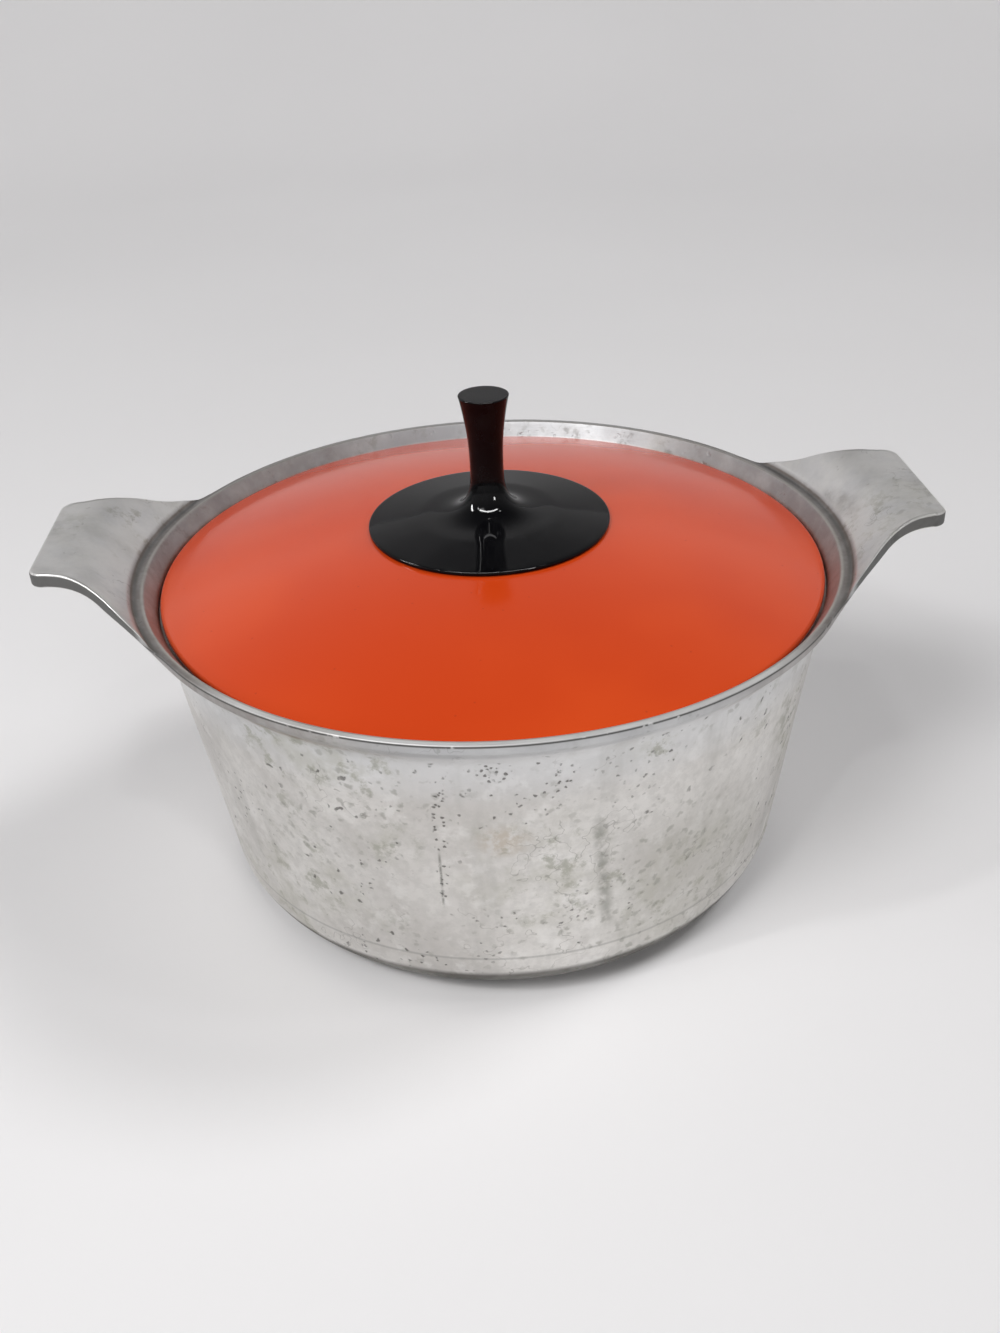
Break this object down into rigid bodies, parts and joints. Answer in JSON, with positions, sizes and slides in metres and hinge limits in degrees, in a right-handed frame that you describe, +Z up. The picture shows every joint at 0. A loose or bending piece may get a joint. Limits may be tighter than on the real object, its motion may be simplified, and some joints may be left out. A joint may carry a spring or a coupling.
{
  "type": "dutch oven",
  "caption": "Round cast dutch oven with wing handles cast into its flared rim and a recessed enamelled dome lid lifted by a waisted knob on a wide flange.",
  "frame": {"origin": "centre of the base, on the surface that the pot stands on", "axes": "+Z up along the pot's axis, X through the two handles, Y across them"},
  "size_m": [0.315, 0.254, 0.1805],
  "materials": {
    "cast_metal": "satin, polished casting worn with fine pits and water stains",
    "lid_metal": "spun satin",
    "enamel": "gloss orange enamel",
    "knob_plastic": "gloss black phenolic",
    "insert_brass": "machined",
    "fastener_steel": "zinc plated"
  },
  "bodies": {
    "pot": {"pot_body": "cast_metal"},
    "lid": {"lid_shell": "lid_metal", "lid_enamel": "enamel", "knob": "knob_plastic", "knob_insert": "insert_brass", "knob_screw": "fastener_steel", "flat_washer": "fastener_steel", "lock_washer": "fastener_steel"}
  },
  "joints": [
    {"name": "lid_lift", "type": "slide", "parent": "pot", "child": "lid", "axis": [0, 0, 1], "range_m": [0, 0.12]}
  ]
}
